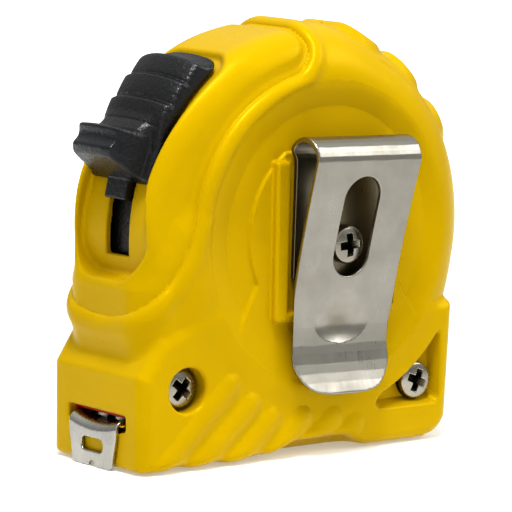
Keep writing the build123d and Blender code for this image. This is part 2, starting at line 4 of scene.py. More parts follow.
import bpy
import numpy as np
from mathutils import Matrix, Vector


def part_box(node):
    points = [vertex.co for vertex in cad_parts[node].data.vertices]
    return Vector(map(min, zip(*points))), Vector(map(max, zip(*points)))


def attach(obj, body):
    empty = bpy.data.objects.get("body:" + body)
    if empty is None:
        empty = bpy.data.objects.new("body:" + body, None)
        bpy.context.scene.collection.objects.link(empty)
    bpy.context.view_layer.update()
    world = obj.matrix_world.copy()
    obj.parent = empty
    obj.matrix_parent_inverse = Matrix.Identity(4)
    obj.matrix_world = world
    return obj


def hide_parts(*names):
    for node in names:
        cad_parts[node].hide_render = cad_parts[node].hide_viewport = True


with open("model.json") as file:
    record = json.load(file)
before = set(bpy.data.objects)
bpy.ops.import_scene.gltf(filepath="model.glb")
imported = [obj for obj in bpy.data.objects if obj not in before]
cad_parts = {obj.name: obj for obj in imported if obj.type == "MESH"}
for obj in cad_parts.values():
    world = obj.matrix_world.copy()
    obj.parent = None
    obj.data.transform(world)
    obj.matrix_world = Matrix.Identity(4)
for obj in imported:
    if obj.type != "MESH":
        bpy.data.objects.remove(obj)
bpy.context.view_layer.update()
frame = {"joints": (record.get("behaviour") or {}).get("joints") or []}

import openvdb
from mathutils import Quaternion, Vector

# The moulded and pressed pieces are made as signed distance fields: each piece is a function
# that gives, in millimetres, how far a point is outside its surface.  The field is sampled on
# a grid, its zero level becomes quads, and each vertex is then moved onto the exact surface.

MM = 0.001
BAND = 3            # the grid holds true distances up to this many cells
SLAB_POINTS = 400000
PROBE = 0.15        # how far apart slopes are read, in cells

# ------------------------------------------------------------------ dimensions; the reel axis and the half width come from the frame
joints = {joint["name"]: joint for joint in frame["joints"]}
AXIS_Z = joints["reel_spin"]["pos_m"][2] / MM


def box_mm(node):
    """Lowest and highest corners of a CAD node, in millimetres."""
    low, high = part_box(node)
    return np.array(low) / MM, np.array(high) / MM


plain_low, _ = box_mm("case_plain_side")
HALF_W = -plain_low[1]
FRONT_X = 34.6
REAR_X = -26.4
DRUM_X = 1.2
DRUM_R = 31.0
DRUM_EDGE = 8.0
WALL = 1.8
SHOULDER_Z = 13.0
CREST_R, CREASE_R, PLATFORM_R = 22.3, 19.0, 15.1
RING_DEPTH, PLATFORM_DEPTH = 0.9, 0.4
CHANNEL_R, CHANNEL_HALF_W = 31.4, 7.6
CHANNEL_START, CHANNEL_END = 32.5, 99.5
SLOT_HALF_W = 2.7
SLOT_START, SLOT_END = 58.0, 94.5
SILL_Z, MOUTH_TOP, MOUTH_HALF_W = 5.2, 8.4, 7.0
FRONT_SCREW = (26.4, 12.1, 9.9)
REAR_SCREW = (-18.3, 9.4, 10.9)
CLIP_SCREW = (-1.9, 31.8)
HEAD_R, HEAD_T, SHANK_R = 2.85, 1.9, 1.45
HOLE_R = SHANK_R + 0.1
PAD_Y, POCKET_Y = 12.0, 11.0


# ------------------------------------------------------------------ distance field tools
def cut_round(a, b, radius):
    """Intersection of two fields with a rounded outer edge."""
    inside = np.minimum(np.maximum(a, b), -radius)
    return inside + np.hypot(np.maximum(a + radius, 0), np.maximum(b + radius, 0))


def join_round(a, b, radius):
    """Union of two fields with a rounded inner corner."""
    return -cut_round(-a, -b, radius)


def step(low, high, value):
    """Smooth step from 0 at low to 1 at high."""
    t = np.clip((value - low) / (high - low), 0, 1)
    return t * t * (3 - 2 * t)


def rounded_box(distances, radius):
    """A rounded box, from the distances outside each pair of its flat faces."""
    q = [d + radius for d in distances]
    outside = np.sqrt(sum(np.maximum(d, 0) ** 2 for d in q))
    deepest = q[0]
    for d in q[1:]:
        deepest = np.maximum(deepest, d)
    return outside + np.minimum(deepest, 0) - radius


def span(value, low, high):
    """Distance outside the interval low..high."""
    return np.abs(value - (low + high) / 2) - (high - low) / 2


def polygon(u, v, points, radius=0.0):
    """A closed polygon with rounded corners, in a plane."""
    points = np.array(points, float)
    nearest = np.full(np.shape(u), 1e9)
    inside = np.zeros(np.shape(u), bool)
    for (u0, v0), (u1, v1) in zip(points, np.roll(points, -1, axis=0)):
        eu, ev = u1 - u0, v1 - v0
        t = np.clip(((u - u0) * eu + (v - v0) * ev) / (eu * eu + ev * ev), 0, 1)
        nearest = np.minimum(nearest, np.hypot(u - u0 - t * eu, v - v0 - t * ev))
        crosses = (v0 > v) != (v1 > v)
        if v1 != v0:
            inside ^= crosses & (u < (v - v0) * eu / ev + u0)
    return np.where(inside, -nearest, nearest) - radius


def inset(points, amount):
    """Move the edges of a convex outline, given anticlockwise, inwards by an amount."""
    points = np.array(points, float)
    ahead = np.roll(points, -1, axis=0)
    along = (ahead - points) / np.linalg.norm(ahead - points, axis=1, keepdims=True)
    inward = np.stack([-along[:, 1], along[:, 0]], axis=1)
    level = (points * inward).sum(axis=1) + amount
    moved = []
    for i in range(len(points)):
        moved.append(np.linalg.solve(np.array([inward[i - 1], inward[i]]), [level[i - 1], level[i]]))
    return moved


def rounded_polygon(u, v, points, radius):
    """A convex outline, given anticlockwise, with rounded corners."""
    return polygon(u, v, inset(points, radius), radius)


def segment(u, v, start, end):
    """Distance from a straight segment, and the place along it from 0 to 1."""
    eu, ev = end[0] - start[0], end[1] - start[1]
    t = np.clip(((u - start[0]) * eu + (v - start[1]) * ev) / (eu * eu + ev * ev), 0, 1)
    return np.hypot(u - start[0] - t * eu, v - start[1] - t * ev), t


def polar(x, z):
    """Radius and angle in degrees about the reel axis; the angle turns from +Z towards +X."""
    return np.hypot(x, z - AXIS_Z), np.degrees(np.arctan2(x, z - AXIS_Z))


def mesh_field(name, field, low, high, cell, seam=None):
    """Turn a distance field into a closed, smooth mesh object, in metres.

    A seam is the field of the uncut body: its edge in the plane y = 0 is drawn sharp.
    """
    low = np.array(low, float) - 2 * cell
    counts = np.ceil((np.array(high, float) + 2 * cell - low) / cell).astype(int) + 1
    xs, ys, zs = (low[i] + cell * np.arange(counts[i]) for i in range(3))
    grid = np.empty(counts, np.float32)
    slab = max(1, int(SLAB_POINTS / (counts[1] * counts[2])))
    for i in range(0, counts[0], slab):
        x, y, z = np.meshgrid(xs[i:i + slab], ys, zs, indexing="ij")
        grid[i:i + slab] = field(x, y, z)
    level = openvdb.FloatGrid(float(BAND * cell))
    level.copyFromArray(np.clip(grid, -BAND * cell, BAND * cell))
    points, quads = level.convertToQuads(0.0)
    points = points.astype(float) * cell + low
    points, normals = settle(field, points, cell)
    if seam is not None:
        sharpen_seam(seam, points, normals, cell)
    mesh = bpy.data.meshes.new(name)
    mesh.from_pydata((points * MM).tolist(), [], quads.tolist())
    mesh.validate()
    mesh.polygons.foreach_set("use_smooth", [True] * len(mesh.polygons))
    mesh.normals_split_custom_set_from_vertices(normals.tolist())
    made = bpy.data.objects.new(name, mesh)
    bpy.context.scene.collection.objects.link(made)
    return made


def settle(field, points, cell):
    """Move points onto the zero level of a field, and give the surface's normals there."""
    reach = cell * PROBE
    for _ in range(3):
        x, y, z = points.T
        value = field(x, y, z)
        slope = np.stack([
            field(x + reach, y, z) - field(x - reach, y, z),
            field(x, y + reach, z) - field(x, y - reach, z),
            field(x, y, z + reach) - field(x, y, z - reach),
        ], axis=1) / (2 * reach)
        steep = np.maximum((slope ** 2).sum(axis=1), 0.2)
        move = -(value / steep)[:, None] * slope
        length = np.linalg.norm(move, axis=1, keepdims=True)
        points = points + move * np.minimum(1, 0.6 * cell / np.maximum(length, 1e-9))
    normals = slope / np.maximum(np.linalg.norm(slope, axis=1, keepdims=True), 1e-9)
    return points, normals


def sharpen_seam(field, points, normals, cell):
    """Bring the points near the edge in the plane y = 0 exactly onto that edge."""
    reach = cell * PROBE
    close = 0.62 * cell
    near = np.nonzero(np.abs(points[:, 1]) < close)[0]
    x, y, z = points[near].T
    near = near[np.abs(field(x, 0 * y, z)) < close]
    x, y, z = points[near, 0], np.zeros(len(near)), points[near, 2]
    for _ in range(4):
        value = field(x, y, z)
        dx = (field(x + reach, y, z) - field(x - reach, y, z)) / (2 * reach)
        dz = (field(x, y, z + reach) - field(x, y, z - reach)) / (2 * reach)
        steep = np.maximum(dx ** 2 + dz ** 2, 0.3)
        x, z = x - value * dx / steep, z - value * dz / steep
    length = np.maximum(np.hypot(dx, dz), 1e-9)
    points[near] = np.stack([x, y, z], axis=1)
    normals[near] = np.stack([dx / length, 0 * y, dz / length], axis=1)


# ------------------------------------------------------------------ the case
GRIP_ANGLES = (-11.0, -30.5, -50.5)
GRIP_RISE, GRIP_LENGTH, GRIP_HALF_W = 1.25, 9.6, 3.4
GRIP_FLAT = 0.75    # how much flatter the drum is under the grips
RIBS = (  # the (x, z) of the tip and the foot of each slanting rib
    ((18.5, 12.1), (31.2, 0.3)),
    ((14.6, 8.8), (24.6, 0.2)),
    ((10.6, 6.4), (17.7, 0.3)),
    ((4.8, 6.0), (10.0, 0.9)),
    ((-1.2, 5.3), (3.4, 1.6)),
    ((-5.6, 4.0), (-2.6, 1.4)),
)
RIB_HALF_W = 1.95
ARCH_HEIGHT = 2.5
SCALLOP_HEIGHT = 0.65
BASE_CORNER, BASE_EDGE, FOOT_EDGE = 1.3, 2.1, 1.2
HEEL_X, HEEL_Z, HEEL_R = REAR_X + 6.2, 5.0, 4.6
NOSE_CORNER, NOSE_EDGE, NOSE_SET_IN = 2.2, 5.4, 0.45
POD_START, POD_END, POD_HALF_W = 7.0, 108.0, 14.3
POD_TOP_CORNER, POD_LOW_CORNER = 5.5, 13.5
POD_CROWN_R, POD_FULLNESS, POD_FULL_ANGLE, POD_FULL_SPREAD = 31.3, 3.7, 87.0, 38.0
POD_GAP = 0.4
LIP_RISE, LIP_PLACE, LIP_SPREAD = 0.4, 1.7, 1.2
HOLLOW_DEPTH, HOLLOW_EDGE = 0.7, 1.0
CHANNEL_TOP_CORNER, CHANNEL_LOW_CORNER = 3.6, 5.5
RIM_RISE = 0.8
PAD_TOP_Z = 46.0    # the platform and the open pocket end below this height


def rib_crown(x, z):
    """How far the slanting ribs stand out of the base's flanks."""
    crown = np.zeros(np.shape(x))
    for tip, foot in RIBS:
        reach, _ = segment(x, z, tip, foot)
        height = 0.28 + 0.27 * step(0.0, 16.0, foot[0])
        crown = np.maximum(crown, height * (1 - np.minimum(reach / RIB_HALF_W, 1) ** 2) ** 1.1)
    return crown


def base_field(x, y, z):
    """The boxy foot of the case, arched along both lower edges between its front and rear feet."""
    a = np.abs(y)
    crown = rib_crown(x, z)
    profile = rounded_polygon(x, z, (
        (REAR_X + 2.0, 0), (FRONT_X, 0), (FRONT_X + 0.2, SHOULDER_Z + 1.3), (FRONT_X - 3.4, 19.8),
        (22.0, 23.8), (REAR_X + 1.0, SHOULDER_Z + 8.6),
    ), BASE_CORNER)
    heel = np.hypot(np.minimum(x - HEEL_X, 0), np.minimum(z - HEEL_Z, 0)) - HEEL_R
    profile = np.maximum(profile, np.where((x < HEEL_X) & (z < HEEL_Z), heel, profile))
    body = cut_round(profile, a - HALF_W - crown, BASE_EDGE)
    arch = ARCH_HEIGHT * step(-9.0, -3.5, x) * (1 - step(3.5, 14.5, x)) * step(5.5, 9.5, a)
    scallop = (SCALLOP_HEIGHT - crown) * step(7.5, 11.0, a) * step(3.0, 12.0, x) * (1 - step(29.0, 32.0, x))
    return cut_round(body, arch + scallop - z, FOOT_EDGE)


def nose_field(x, y, z):
    """The blunt front of the drum, which ends in a crease on the base's sloping shoulder."""
    profile = rounded_polygon(x, z, (
        (20.0, 10.0), (32.0, 10.0), (33.2, 16.5), (34.7, 22.5),
        (35.0, 27.0), (34.0, 32.0), (30.0, 39.0), (20.0, 40.0),
    ), NOSE_CORNER)
    return cut_round(profile, np.abs(y) - HALF_W + NOSE_SET_IN, NOSE_EDGE)


def drum_field(x, y, z):
    """The round drum, with its large rounded shoulders; its grip side is slightly flatter."""
    r = np.hypot(x - DRUM_X, z - AXIS_Z)
    _, angle = polar(x, z)
    flatter = GRIP_FLAT * step(-2.0, -25.0, angle) * step(-125.0, -100.0, angle)
    return rounded_box((r - DRUM_R + flatter, np.abs(y) - HALF_W), DRUM_EDGE)


def pod_outline(x, y, z):
    """Distance outside the pod's outline, measured over the drum's surface."""
    _, angle = polar(x, z)
    r = np.hypot(x - DRUM_X, z - AXIS_Z)
    a = np.abs(y)
    flat = HALF_W - DRUM_EDGE
    bend = np.arctan2(np.maximum(a - flat, 0), np.maximum(r - DRUM_R + DRUM_EDGE, 1e-6))
    across = np.where(a < flat, a, flat + DRUM_EDGE * bend)
    across = across + np.maximum(DRUM_R - DRUM_EDGE - r, 0)
    along = np.radians(angle) * DRUM_R
    start, end = np.radians(POD_START) * DRUM_R, np.radians(POD_END) * DRUM_R
    corner = np.where(along > (start + end) / 2, POD_LOW_CORNER, POD_TOP_CORNER)
    return rounded_box((span(along, start, end), across - POD_HALF_W), corner)


def pod_radius(angle):
    """Radius of the pod's crown about the reel axis; it is fullest in front."""
    return POD_CROWN_R + POD_FULLNESS * np.exp(-((angle - POD_FULL_ANGLE) / POD_FULL_SPREAD) ** 2)


def pod_field(x, y, z):
    """The raised pod's own body, before its outline trims it."""
    r, angle = polar(x, z)
    side = np.abs(y) - 10.5 + 0.13 * (r - 25.0)
    ends = 0.7 * step(34.0, 9.0, angle)
    edge = 4.2 + 1.2 * step(86.0, 102.0, angle)
    return cut_round(r - pod_radius(angle) + ends, side, edge)


def channel_outline(x, y, z):
    """Distance outside the lock channel's outline."""
    _, angle = polar(x, z)
    along = np.radians(angle) * CHANNEL_R
    low, high = np.radians(CHANNEL_START) * CHANNEL_R, np.radians(CHANNEL_END) * CHANNEL_R
    corner = np.where(along > (low + high) / 2, CHANNEL_LOW_CORNER, CHANNEL_TOP_CORNER)
    side = np.abs(y) - CHANNEL_HALF_W - 0.8 * step(72.0, 88.0, angle)
    return rounded_box((span(along, low, high), side), corner)


def grip_height(x, y, z):
    """How far the finger grips stand out of the drum: raised scales with round ends."""
    _, angle = polar(x, z)
    height = np.zeros(np.shape(x))
    for start in GRIP_ANGLES:
        along = np.radians(start - angle) * DRUM_R
        outline = np.hypot(along - GRIP_LENGTH / 2, np.maximum(np.abs(y) - GRIP_HALF_W, 0)) - GRIP_LENGTH / 2
        fall = 1 - 0.55 * np.clip(along / GRIP_LENGTH, 0, 1)
        height = np.maximum(height, GRIP_RISE * fall * step(0.3, -1.3, outline))
    return height


def side_level(x, z):
    """How far the side faces lie below the rim of the side rings."""
    r, _ = polar(x, z)
    upper = step(-0.35, 0.35, np.maximum(z - 28.0, (z - 26.6 + 1.86 * (np.abs(x) - 13.45)) / 2.1))
    lower_fade = step(10.0, 24.0, z)
    cone = RING_DEPTH * np.clip((CREST_R - r) / (CREST_R - CREASE_R), 0, 1)
    faint = PLATFORM_DEPTH * np.clip((CREST_R - r) / 3.0, 0, 1) * (0.25 + 0.75 * lower_fade)
    edge = step(PLATFORM_R - 0.2, PLATFORM_R + 0.2, np.maximum(r, PLATFORM_R + z - PAD_TOP_Z))
    ring = PLATFORM_DEPTH * (1 - edge) + cone * edge
    return faint * (1 - upper) + ring * upper


def outer_case(x, y, z):
    """The outside of the closed case."""
    r, angle = polar(x, z)
    a = np.abs(y)
    drum = drum_field(x, y, z) - grip_height(x, y, z)
    nose = join_round(drum, nose_field(x, y, z), 2.0)
    body = join_round(nose, base_field(x, y, z), 0.7)
    # the pod lies in a rounded hollow of the body, with a raised lip round it
    outline = pod_outline(x, y, z)
    lip = LIP_RISE * np.exp(-((outline - LIP_PLACE) / LIP_SPREAD) ** 2)
    hollow = cut_round(body - lip, -outline, HOLLOW_EDGE)
    pod = cut_round(pod_field(x, y, z), outline + POD_GAP, 2.2 - 1.1 * step(85.0, 103.0, angle))
    body = join_round(np.minimum(hollow, nose + HOLLOW_DEPTH), pod, 0.45)
    # the lock's channel is deeper towards its top
    floor = CHANNEL_R - 1.25 * (1 - np.sin(np.radians(angle)))
    channel = cut_round(channel_outline(x, y, z), floor - r, 0.6)
    body = cut_round(body, -channel, 1.0)
    # rings and platform of the side faces
    rim = RIM_RISE * step(CREST_R, CREST_R + 1.5, r)
    body = cut_round(body, a - HALF_W + side_level(x, z) - rim, 0.25)
    body = screw_recesses(clip_pad(body, x, y, z), x, y, z)
    # the mouth, whose sill follows the cupped blade
    sill = SILL_Z + 0.7 * cup(y)
    mouth = rounded_box((span(z, sill, MOUTH_TOP), a - MOUTH_HALF_W, FRONT_X - 6 - x), 0.5)
    return cut_round(body, -mouth, 0.4)


def clip_pad(body, x, y, z):
    """Add the raised pad that the belt clip is screwed into, open at its top end."""
    pad = rounded_box((span(x, -12.4, 11.0), span(z, 20.8, 44.8), span(y, 8.0, PAD_Y)), 0.55)
    pad = np.maximum(pad, (z + 0.45 * (x + 2.5) - 52.0) / 1.1)
    body = join_round(body, pad, 0.35)
    pocket = rounded_box((span(x, -12.0, 8.5), span(z, 22.0, 60.0), span(y, POCKET_Y, 20.0)), 0.4)
    return np.where(z < PAD_TOP_Z + 1, cut_round(body, -pocket, 0.3), body)


def screw_recesses(body, x, y, z):
    """Cut the deep counterbore of the front screw and the three-cornered recess of the rear one."""
    front = np.hypot(x - FRONT_SCREW[0], z - FRONT_SCREW[1]) - 3.35
    body = cut_round(body, -np.maximum(front, FRONT_SCREW[2] - HEAD_T - y), 0.5)
    r, _ = polar(x, z)
    depth = HALF_W - y
    wall = cut_round(27.6 - r - 0.2 * depth, 5.7 + 0.45 * depth - z, 1.0)
    wall = cut_round(wall, -22.6 + 0.4 * depth - x, 1.2)
    wall = cut_round(wall, x + 9.6 + 0.3 * depth, 1.5)
    return cut_round(body, -np.maximum(wall, REAR_SCREW[2] - HEAD_T - y), 0.35)


def cavity_field(x, y, z):
    """The hollow inside the case, with its posts and bosses left standing."""
    r, angle = polar(x, z)
    a = np.abs(y)
    drum = rounded_box((np.hypot(x - DRUM_X, z - AXIS_Z) - DRUM_R + WALL, a - HALF_W + 2.4), 5.5)
    base = polygon(x, z, (
        (REAR_X + 3.1, 2.0), (24.0, 2.0), (24.0, SILL_Z), (FRONT_X - WALL, SILL_Z),
        (FRONT_X - WALL, SHOULDER_Z - 0.5), (FRONT_X - 6.0, SHOULDER_Z + 4.4),
        (FRONT_X - 9.0, SHOULDER_Z + 7.0), (REAR_X + 2.2, SHOULDER_Z + 7.0),
    ))
    hollow = np.minimum(drum, cut_round(base, a - HALF_W + 2.0, 0.5))
    over_arch = np.maximum(span(x, -11.0, 16.5), np.maximum(6.0 - a, z - ARCH_HEIGHT - 1.6))
    hollow = np.maximum(hollow, -over_arch)
    post = 1e9
    for px, pz, _ in (FRONT_SCREW, REAR_SCREW):
        post = np.minimum(post, np.hypot(x - px, z - pz) - 3.0)
    front_cup = np.maximum(np.hypot(x - FRONT_SCREW[0], z - FRONT_SCREW[1]) - 4.3, 6.9 - y)
    bed = np.maximum(np.maximum(26.0 - r, span(x, -27.0, -9.0)), np.maximum(z - 21.0, 7.5 - y))
    boss = np.maximum(r - 5.0, 7.7 - a)
    post = np.minimum(np.minimum(post, boss), np.minimum(front_cup, bed))
    hollow = np.maximum(hollow, -post)
    slot = np.maximum(np.maximum(a - SLOT_HALF_W, span(angle, SLOT_START, SLOT_END)), 28.0 - r)
    seat = np.maximum(r - 3.25, a - 9.6)
    return np.minimum(np.minimum(hollow, np.maximum(slot, r - 40)), seat)


def case_shell(x, y, z):
    """The whole case, hollow, before it is parted into halves."""
    return cut_round(outer_case(x, y, z), -cavity_field(x, y, z), 0.25)


def case_half(facing):
    """The field of one half of the case: facing is +1 for the clip side, -1 for the plain side."""
    def field(x, y, z):
        shell = case_shell(x, y, z)
        front, rear, clip = (
            np.hypot(x - place[0], z - place[1]) - HOLE_R for place in (FRONT_SCREW, REAR_SCREW, CLIP_SCREW)
        )
        holes = np.minimum(np.minimum(front, rear), np.maximum(clip, 3.0 - y))
        shell = np.maximum(shell, -np.maximum(holes, -8.0 - y))
        return np.maximum(shell, -facing * y)
    return field


# ------------------------------------------------------------------ lock button
BUTTON_R = CHANNEL_R + 0.25
BUTTON_HALF_W = 7.2
BUTTON_START, BUTTON_END = 35.2, 74.6
BUTTON_MID_R, BUTTON_CORNER = 34.0, 2.4
LIP_R, LIP_ANGLE = 39.3, 70.4
GROOVES = (39.6, 46.4, 53.2, 60.0)
CROWN_FALL = 1.5
RIDGES = (64.6, 69.0)
STEM_HALF_W, STEM_START, STEM_END, STEM_R = 2.5, 61.0, 79.5, 32.6


def button_crown(angle, y):
    """Radius of the thumb surface: overlapping scales, a scoop and a lip with two ridges."""
    across = np.abs(y) / BUTTON_HALF_W
    crown = 33.0 + 1.9 * step(35.5, 42.0, angle)
    crown = crown - CROWN_FALL * across ** 2.4
    for low, high in zip(GROOVES, GROOVES[1:]):
        place = np.clip((angle - low) / (high - low), 0, 1)
        bulge = step(0.0, 0.22, place) * (1 - 0.85 * place ** 1.6) * (1 - step(0.93, 1.0, place))
        crown = crown + 0.75 * bulge * (0.75 + 0.25 * (1 - across ** 2))
    ends = step(0.62, 0.84, across)
    crown = crown + 1.3 * step(57.0, 64.0, angle) * (1 - ends)
    lip = 2.7 * step(62.2, 64.6, angle) * (1 - ends)
    crown = crown + lip - 0.9 * step(60.0, 66.0, angle) * ends
    for ridge in RIDGES:
        crown = crown + 0.5 * (1 - ends) * np.exp(-((angle - ridge) / 1.2) ** 2)
    return crown


def button_field(x, y, z):
    """The sliding thumb button with its stem."""
    r, angle = polar(x, z)
    a = np.abs(y)
    top = (r - button_crown(angle, y)) * 0.8
    behind = np.radians(BUTTON_START - angle) * BUTTON_MID_R
    side = a - BUTTON_HALF_W + 0.06 * (r - BUTTON_R)
    plan = np.maximum(rounded_box((behind, side), BUTTON_CORNER), side)
    # the flat underside of the lip slopes back to the channel
    lip_x, lip_z = LIP_R * sin(radians(LIP_ANGLE)), LIP_R * cos(radians(LIP_ANGLE)) + AXIS_Z
    end_x, end_z = BUTTON_R * sin(radians(BUTTON_END)), BUTTON_R * cos(radians(BUTTON_END)) + AXIS_Z
    run = np.hypot(end_x - lip_x, end_z - lip_z)
    under = ((z - lip_z) * (end_x - lip_x) - (x - lip_x) * (end_z - lip_z)) / run
    body = cut_round(top, plan, 0.55)
    body = cut_round(body, under, 0.45)
    body = cut_round(body, BUTTON_R - r, 0.2)
    stem = cut_round(a - STEM_HALF_W, span(angle, STEM_START, STEM_END) * 0.55, 0.3)
    stem = cut_round(stem, span(r, 29.8, STEM_R), 0.25)
    return join_round(body, stem, 0.2)


# ------------------------------------------------------------------ belt clip
CLIP_T = 0.8
CLIP_HALF_W = 9.55
CLIP_X = -1.4
CLIP_LEAN = radians(1.7)
CLIP_LEG_Y = POCKET_Y + CLIP_T / 2
CLIP_LEG_LOW = 27.2
CLIP_TOP_Z, LOOP_R = 45.0, 2.95
FLARE_Z = 15.2
CLIP_CORNER = 3.8
CLIP_SLOT_Z, CLIP_SLOT_HALF_W, CLIP_SLOT_REACH = 34.9, 3.4, 7.6
DIMPLE_Z, DIMPLE_DEPTH = 20.6, 0.85
LEG_FACE_Y = 12.6   # between the leg and the leaf


def leaf_y(z):
    """How far out the middle of the clip's leaf lies: a long bow that flares at its tip."""
    bow = 12.5 + 5.2 * np.maximum((z - 19.0) / (CLIP_TOP_Z - 19.0), 0) ** 1.35
    return bow + 2.3 * (np.maximum(FLARE_Z + 1.5 - z, 0) / 7.2) ** 1.5


def clip_path():
    """The bent centre line of the clip, as (y, z) points: leg, loop, leaf and flared tip."""
    leg = [(CLIP_LEG_Y, z) for z in np.linspace(CLIP_LEG_LOW, CLIP_TOP_Z, 4)]
    reach = (leaf_y(CLIP_TOP_Z) - CLIP_LEG_Y) / 2
    loop = [
        (CLIP_LEG_Y + reach - reach * cos(t), CLIP_TOP_Z + LOOP_R * sin(t))
        for t in np.linspace(0, pi, 15)[1:-1]
    ]
    leaf = [(leaf_y(z), z) for z in np.linspace(CLIP_TOP_Z, 9.9, 26)]
    return leg + loop + leaf


def clip_field(x, y, z):
    """The sprung belt clip: a bent strip with a screw slot, a pressed dimple and a rounded tip."""
    u = x * cos(CLIP_LEAN) + (z - AXIS_Z) * sin(CLIP_LEAN) - CLIP_X
    w = (z - AXIS_Z) * cos(CLIP_LEAN) - x * sin(CLIP_LEAN) + AXIS_Z
    du, dw = u - 0.1, w - DIMPLE_Z
    low = np.hypot(du / 5.3, dw / 3.5)
    high = np.hypot(du / 4.6, dw / 5.0)
    upper = step(-1.2, 1.2, dw)
    cap = (1 - np.minimum(low, 1) ** 2) * (1 - upper) + (1 - np.minimum(high, 1) ** 2) ** 2 * upper
    pressed = DIMPLE_DEPTH * cap * np.where((y < 11.95) & (w > 22.8), 0, 1)
    path = clip_path()
    sheet = np.full(np.shape(x), 1e9)
    for start, end in zip(path, path[1:]):
        reach, _ = segment(y + pressed, w, start, end)
        sheet = np.minimum(sheet, reach)
    tip = w - 9.55 - 2.4 * (np.abs(u) / CLIP_HALF_W) ** 2.6
    half = CLIP_HALF_W + 0.45 * np.clip((w - FLARE_Z) / 30.0, 0, 1)
    half = half - 1.0 * step(13.4, 12.0, y) * step(46.5, 44.5, w)
    edge = rounded_box((np.abs(u) - half, -tip), CLIP_CORNER)
    slot_ends = np.abs(w - CLIP_SLOT_Z) - CLIP_SLOT_REACH
    slot = rounded_box((np.abs(u) - CLIP_SLOT_HALF_W, slot_ends), CLIP_SLOT_HALF_W)
    edge = np.where(y > LEG_FACE_Y, np.maximum(edge, -slot), edge)
    hole = np.hypot(x - CLIP_SCREW[0], z - CLIP_SCREW[1]) - SHANK_R - 0.15
    edge = np.where(y < LEG_FACE_Y, np.maximum(edge, -hole), edge)
    return cut_round(sheet - CLIP_T / 2, edge, 0.25)


# ------------------------------------------------------------------ end hook
HOOK_T = 0.7
HOOK_BACK = 34.75
HOOK_HALF_W = 5.75
HOOK_LOW = 0.08
BLADE_Z, BLADE_T, CUP_R, BLADE_HALF_W = 5.75, 0.2, 20.2, 6.35
RIVETS = ((31.2, 2.2), (31.2, -2.2))


def cup(y):
    """Rise of the blade's cupped section above its middle."""
    return CUP_R - np.sqrt(np.maximum(CUP_R ** 2 - y ** 2, 1))


def hook_field(x, y, z):
    """The end hook: a cupped flange on the blade, bent down into a slotted plate."""
    a = np.abs(y)
    bend = 1.15
    level = BLADE_Z + BLADE_T + 0.05 + HOOK_T / 2
    lift = cup(y) * step(2.0, 5.5, z)
    w = z - lift
    x_plate = HOOK_BACK + HOOK_T / 2
    flange, _ = segment(x, w, (27.9, level), (x_plate - bend, level))
    plate, _ = segment(x, w, (x_plate, level - bend), (x_plate, -9.0))
    elbow = np.abs(np.hypot(x - x_plate + bend, w - level + bend) - bend)
    elbow = np.maximum(elbow, np.maximum(x_plate - bend - x, level - bend - w))
    sheet = np.minimum(np.minimum(flange, plate), elbow) - HOOK_T / 2
    taper = HOOK_HALF_W - 0.9 * step(6.0, 0.0, z) - 1.4 * step(33.6, 32.4, x)
    outline = rounded_box((a - taper, HOOK_LOW - z), 0.9)
    slot = rounded_box((a - 2.6, np.abs(z - 3.3) - 0.95), 0.8)
    slot = np.maximum(slot, HOOK_BACK - 0.5 - x)
    notch = np.hypot(y, z - HOOK_LOW) - 0.8
    outline = cut_round(cut_round(outline, -slot, 0.12), -np.maximum(notch, HOOK_BACK - 0.5 - x), 0.12)
    # the rivet holes are slots, which give the hook its small play
    for px, py in RIVETS:
        along = np.maximum(np.abs(x - px + 0.4) - 0.4, 0)
        outline = np.maximum(outline, 1.0 - np.hypot(along, y - py))
    return cut_round(sheet, outline, 0.22)


# ------------------------------------------------------------------ screws
def screw_field(place, top, turn, length):
    """A domed pan-head screw along Y with a cross recess and a cut thread."""
    px, pz = place

    def field(x, y, z):
        u, v = x - px, z - pz
        r = np.hypot(u, v)
        dome = (y - top + (r / HEAD_R) ** 2 * 0.45) * 0.95
        head = cut_round(cut_round(dome, r - HEAD_R, 0.35), top - HEAD_T - y, 0.1)
        depth = np.maximum(top - y, 0)
        c, s = cos(turn), sin(turn)
        p, q = np.abs(u * c + v * s), np.abs(-u * s + v * c)
        arm, wide = 1.9 - 0.6 * depth, 0.58 - 0.1 * depth
        cross = np.minimum(np.maximum(p - arm, q - wide), np.maximum(q - arm, p - wide))
        core = p + q - 1.25 + 0.4 * depth
        cross = np.maximum(np.minimum(cross, core), top - 1.75 - y)
        head = cut_round(head, -cross, 0.09)
        thread = 0.2 * np.abs(((y / 0.95 - np.arctan2(v, u) / (2 * pi)) % 1.0) * 2 - 1)
        shank = np.maximum((r - SHANK_R + thread) * 0.8, span(y, top - length, top - HEAD_T + 0.2))
        return np.minimum(head, shank)

    return field


# ------------------------------------------------------------------ materials
def set_range(node, low, high, new_low, new_high):
    """Set the four limits of a Map Range node."""
    for key, number in zip(("From Min", "From Max", "To Min", "To Max"), (low, high, new_low, new_high)):
        node.inputs[key].default_value = number


